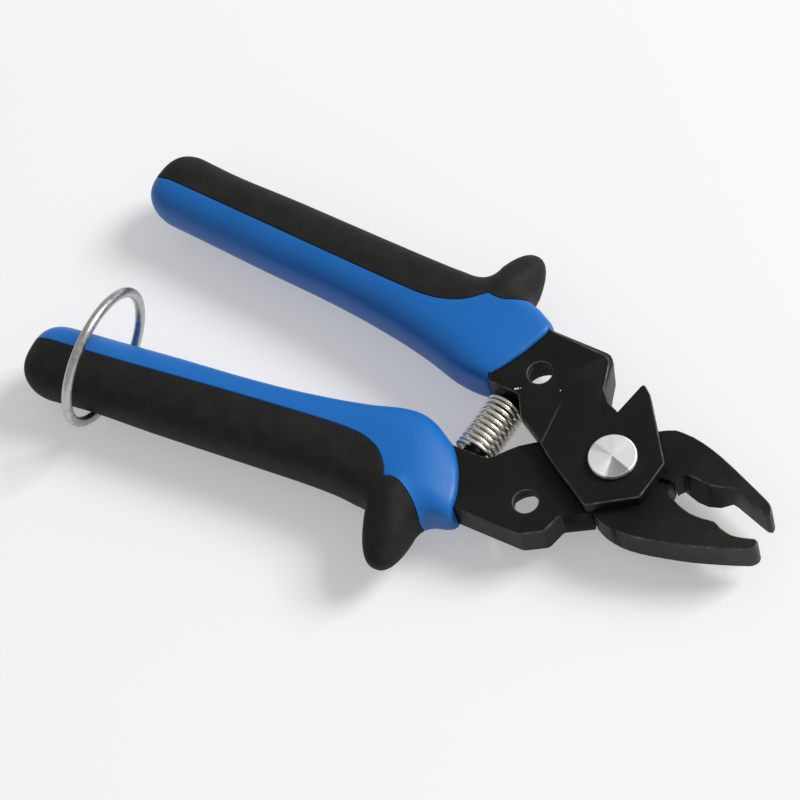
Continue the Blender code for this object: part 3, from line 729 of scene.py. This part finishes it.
def make_grip(handle, plastic, rubber):
    """Hard sleeve and soft cover of one handle."""
    grip = whole_grip(handle)
    groove = seam_groove(handle, grip)
    combine(grip, groove, "DIFFERENCE", "EXACT")
    sleeve = grip.copy()
    sleeve.data = grip.data.copy()
    bpy.context.scene.collection.objects.link(sleeve)

    cover = combine(grip, cover_region(handle), "INTERSECT")
    combine(cover, core(handle, CORE_ENDS, JACKET), "DIFFERENCE")
    combine(sleeve, cover_region(handle, SEAM_GAP, -SEAM_GAP), "DIFFERENCE")
    combine(sleeve, core(handle, INNER_CORE_ENDS, JACKET + CORE_GAP), "UNION")
    combine(sleeve, lever_sockets(handle), "DIFFERENCE")
    cover.name = handle.name + "_soft_cover"
    sleeve.name = handle.name + "_hard_sleeve"
    finish_piece(shade(cover, 40), rubber, handle.body, handle.name + "_grip_cover")
    finish_piece(shade(sleeve, 40), plastic, handle.body, handle.name + "_sleeve")


# ---------------------------------------------------------------- levers
def on_front(item):
    """Whether an edge bounds a lever's front face, or a jaw's away from the hub."""
    places = [vert.co / MM for vert in item.verts]
    if all(abs(place.z - PLATE_FACE) < FACE_TOLERANCE for place in places):
        return True
    on_jaw = all(abs(place.z - JAW_FACE) < FACE_TOLERANCE for place in places)
    return on_jaw and all(hypot(place.x, place.y) > HUB_REACH for place in places)


def make_lever(node, body, steel, edge):
    """The CAD lever with its front edges chamfered and worn, with a painted highlight on the
    chamfer.
    """
    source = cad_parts[node]
    lever = bpy.data.objects.new(node + "_forging", source.data.copy())
    bpy.context.scene.collection.objects.link(lever)
    bm = bmesh.new()
    bm.from_mesh(lever.data)
    bmesh.ops.remove_doubles(bm, verts=bm.verts, dist=WELD * MM)
    bmesh.ops.dissolve_limit(
        bm, angle_limit=radians(FLAT_ANGLE), verts=bm.verts, edges=bm.edges, delimit=set()
    )
    weight = bm.edges.layers.float.new("bevel_weight_edge")
    for item in bm.edges:
        if len(item.link_faces) == 2 and item.calc_face_angle() > radians(CHAMFER_ANGLE):
            item[weight] = float(on_front(item))
    bm.to_mesh(lever.data)
    bm.free()
    lever.data.materials.clear()
    for entry in (steel, edge):
        lever.data.materials.append(entry)
    shade(lever, 34)
    bevel = lever.modifiers.new("chamfer", "BEVEL")
    bevel.width = CHAMFER * MM
    bevel.use_clamp_overlap = False
    bevel.segments = 2
    bevel.limit_method = "WEIGHT"
    bevel.material = 1
    bevel.miter_outer = "MITER_ARC"
    bevel.harden_normals = True
    apply_modifiers(lever)
    finish_piece(lever, None, body, node)


# ---------------------------------------------------------------- pivot
def make_pivot(bright, black):
    """Pivot bolt with its turned head, its washer and its nut."""
    face = [(HEAD_RADIUS, HEAD_LOW + HEAD_EDGE), (HEAD_RADIUS, HEAD_HIGH - 0.3)]
    face += [(HEAD_RADIUS - 0.08, HEAD_HIGH - 0.1), (HEAD_RADIUS - 0.28, HEAD_HIGH - 0.01)]
    face += [(HEAD_RADIUS - 0.45, HEAD_HIGH)]
    for mark in range(TURNING_MARKS):
        radius = TURNING_FIRST - TURNING_PITCH * mark
        face += [(radius + TURNING_HALF_WIDTH, HEAD_HIGH), (radius, HEAD_HIGH - TURNING_DEPTH)]
        face += [(radius - TURNING_HALF_WIDTH, HEAD_HIGH)]
    face += [(0.15, HEAD_HIGH - 0.03), (0, HEAD_HIGH - 0.05)]
    shank = [(0, 0), (SHANK_RADIUS - SHANK_EDGE, 0), (SHANK_RADIUS, SHANK_EDGE)]
    shank += [(SHANK_RADIUS, HEAD_LOW), (HEAD_RADIUS - HEAD_EDGE, HEAD_LOW)]
    bolt = turned("pivot_pin", shank + face)
    finish_piece(shade(bolt, 40), bright, "lower_half", "pivot_bolt")

    inner, outer = BORE_RADIUS + WASHER_EDGE, WASHER_RADIUS - WASHER_EDGE
    low, high = WASHER_LOW + WASHER_EDGE, WASHER_HIGH - WASHER_EDGE
    washer = turned("plain_washer", [
        (BORE_RADIUS, low), (inner, WASHER_LOW), (outer, WASHER_LOW), (WASHER_RADIUS, low),
        (WASHER_RADIUS, high), (outer, WASHER_HIGH), (inner, WASHER_HIGH), (BORE_RADIUS, high),
    ])
    finish_piece(shade(washer), bright, "lower_half", "pivot_washer")

    corners = [radians(60 * corner) for corner in range(6)]
    hexagon = [(NUT_RADIUS * cos(a), NUT_RADIUS * sin(a)) for a in corners]
    nut = prism("lock_nut", hexagon, 0, NUT_HEIGHT)
    nut.rotation_euler.z = nut_turn(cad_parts["pivot_nut"])
    bpy.context.view_layer.update()
    nut.data.transform(nut.matrix_world)
    nut.matrix_world = Matrix.Identity(4)
    inside = NUT_RADIUS * 0.9
    outside, bore = NUT_RADIUS + 0.1, BORE_RADIUS + BORE_EDGE
    crown = turned("crown", [
        (BORE_RADIUS, BORE_EDGE), (bore, 0), (inside, 0), (outside, NUT_CROWN),
        (outside, NUT_HEIGHT - NUT_CROWN), (inside, NUT_HEIGHT), (bore, NUT_HEIGHT),
        (BORE_RADIUS, NUT_HEIGHT - BORE_EDGE),
    ])
    combine(nut, crown, "INTERSECT", "EXACT")
    finish_piece(shade(nut), black, "lower_half", "pivot_nut")


def nut_turn(node):
    """Angle of the CAD nut's first corner."""
    corner = max(node.data.vertices, key=lambda vert: hypot(vert.co.x, vert.co.y)).co
    return atan2(corner.y, corner.x)


# ---------------------------------------------------------------- spring and ring
def spring_axis():
    """The spring's two ends and the direction from the lower to the upper."""
    low, high = Vector(SPRING_BOTTOM), Vector(SPRING_TOP)
    return low, high, (high - low).normalized()


def make_spring(wire):
    """Compression spring whose end coils lie closed."""
    low, high, axis = spring_axis()
    across = axis.cross(Vector((0, 0, 1))).normalized()
    up = across.cross(axis).normalized()
    length = (high - low).length - SPRING_WIRE
    closed_pitch = SPRING_WIRE * SPRING_CLOSED_PITCH
    open_pitch = (length - 2 * closed_pitch) / (SPRING_TURNS - 2)
    radius = SPRING_RADIUS - SPRING_WIRE / 2
    steps = 40
    path = []
    for index in range(int(SPRING_TURNS * steps)):
        turn = index / steps
        open_turns = min(max(turn - 1, 0), SPRING_TURNS - 2)
        travel = SPRING_WIRE / 2 + (turn - open_turns) * closed_pitch + open_turns * open_pitch
        angle = 2 * pi * turn + pi / 2
        path.append(low + axis * travel + radius * (cos(angle) * across + sin(angle) * up))
    spring = tube("coil_spring", path, SPRING_WIRE / 2, 4)
    shade(spring, 50)
    spring.data.materials.append(wire)
    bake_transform(spring)
    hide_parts("return_spring")


def make_pegs(steel):
    """Spring pegs with rounded noses."""
    low, high, axis = spring_axis()
    for name, foot, direction in (("lower", low, axis), ("upper", high, -axis)):
        depth = PEG_DEPTHS[name]
        length = depth + PEG_STAND - 2 * PEG_TRIM
        shoulder = length - PEG_NOSE
        profile = [(0, 0), (PEG_RADIUS - PEG_FOOT, 0), (PEG_RADIUS, PEG_FOOT)]
        profile.append((PEG_RADIUS, shoulder))
        for step in range(1, 6):
            angle = pi / 2 * step / 6
            radius = PEG_RADIUS - PEG_NOSE * (1 - cos(angle))
            profile.append((radius, shoulder + PEG_NOSE * sin(angle)))
        profile.append((0, length))
        peg = turned(name + "_peg_pin", profile, 48)
        start = (foot - direction * (depth - PEG_TRIM)) * MM
        turn = direction.to_track_quat("Z", "Y").to_matrix().to_4x4()
        peg.data.transform(Matrix.Translation(start) @ turn)
        shade(peg)
        finish_piece(peg, steel, name + "_half", name + "_spring_peg")


def make_ring(wire):
    """Loose wire ring with a butt joint."""
    height = RING_RADIUS * cos(radians(RING_LEAN)) + RING_WIRE_RADIUS
    lean = Matrix.Rotation(radians(90 + RING_LEAN), 4, "Y")
    turn = Matrix.Rotation(radians(RING_YAW), 4, "Z") @ lean
    place = Matrix.Translation(Vector((*RING_CENTRE, height)))
    steps = 240
    half_gap = RING_HALF_GAP / RING_RADIUS
    path = []
    for step in range(steps + 1):
        angle = half_gap + (2 * pi - 2 * half_gap) * step / steps
        flat = Vector((RING_RADIUS * cos(angle), RING_RADIUS * sin(angle), 0))
        path.append(place @ turn @ flat)
    ring = tube("wire_ring", path, RING_WIRE_RADIUS, 6)
    finish_piece(shade(ring, 50), wire, "ring", "keeper_ring")


# ---------------------------------------------------------------- camera, floor and light
def make_camera():
    data = bpy.data.cameras.new("camera")
    data.sensor_width = CAMERA_SENSOR
    data.lens = CAMERA_LENS
    data.clip_start = 0.05
    data.clip_end = 20
    camera = bpy.data.objects.new("camera", data)
    bpy.context.scene.collection.objects.link(camera)
    right, up = Vector(CAMERA_RIGHT), Vector(CAMERA_UP)
    turn = Matrix((right, up, right.cross(up))).transposed().to_4x4()
    camera.matrix_world = Matrix.Translation(Vector(CAMERA_PLACE) * MM) @ turn
    bpy.context.scene.camera = camera


def make_floor():
    bm = bmesh.new()
    bmesh.ops.create_grid(bm, x_segments=2, y_segments=2, size=3.0)
    floor = mesh_object("studio_floor", bm)
    n = Nodes("pale_studio_paper", (0.50, 0.50, 0.503), 0.9, 0.0)
    n.colour(n.ramp(n.noise(3, 2), [(0.3, (0.495, 0.495, 0.498)), (0.7, (0.505, 0.505, 0.508))]))
    n.shader.inputs["Specular IOR Level"].default_value = 0.1
    n.shader.inputs["Emission Color"].default_value = (1.0, 1.0, 1.01, 1)
    n.shader.inputs["Emission Strength"].default_value = FLOOR_GLOW
    floor.data.materials.append(n.material)


def make_light():
    """Even white surroundings and one large square light."""
    world = bpy.data.worlds.new("studio")
    world.use_nodes = True
    background = world.node_tree.nodes["Background"]
    background.inputs["Color"].default_value = (1.0, 1.0, 1.0, 1)
    background.inputs["Strength"].default_value = WORLD_STRENGTH
    bpy.context.scene.world = world
    data = bpy.data.lights.new("key", "AREA")
    data.shape = "RECTANGLE"
    data.size = data.size_y = KEY_SIZE
    data.energy = KEY_POWER
    light = bpy.data.objects.new("key", data)
    bpy.context.scene.collection.objects.link(light)
    light.location = KEY_PLACE
    light.rotation_mode = "QUATERNION"
    aim = Vector(KEY_TARGET) - Vector(KEY_PLACE)
    light.rotation_quaternion = aim.to_track_quat("-Z", "Y")
    bpy.context.scene.view_settings.view_transform = "Standard"


# ---------------------------------------------------------------- build
make_camera()
make_floor()
make_light()
STEEL, EDGE = black_steel(), worn_and_highlit_edge()
# the upper lever's plate carries painted highlights: a light ridge line and near-white glint spots
HIGHLIGHTED_STEEL = black_steel("black_steel_painted_highlights", painted_highlights=True)
BRIGHT = turned_steel()
make_lever("upper_lever", "upper_half", HIGHLIGHTED_STEEL, EDGE)
make_lever("lower_lever", "lower_half", STEEL, EDGE)
make_pivot(BRIGHT, STEEL)
make_spring(spring_steel())
make_pegs(STEEL)
make_ring(ring_steel())
PLASTIC, RUBBER = blue_plastic(), black_rubber()
for HANDLE in HANDLES:
    make_grip(HANDLE, PLASTIC, RUBBER)
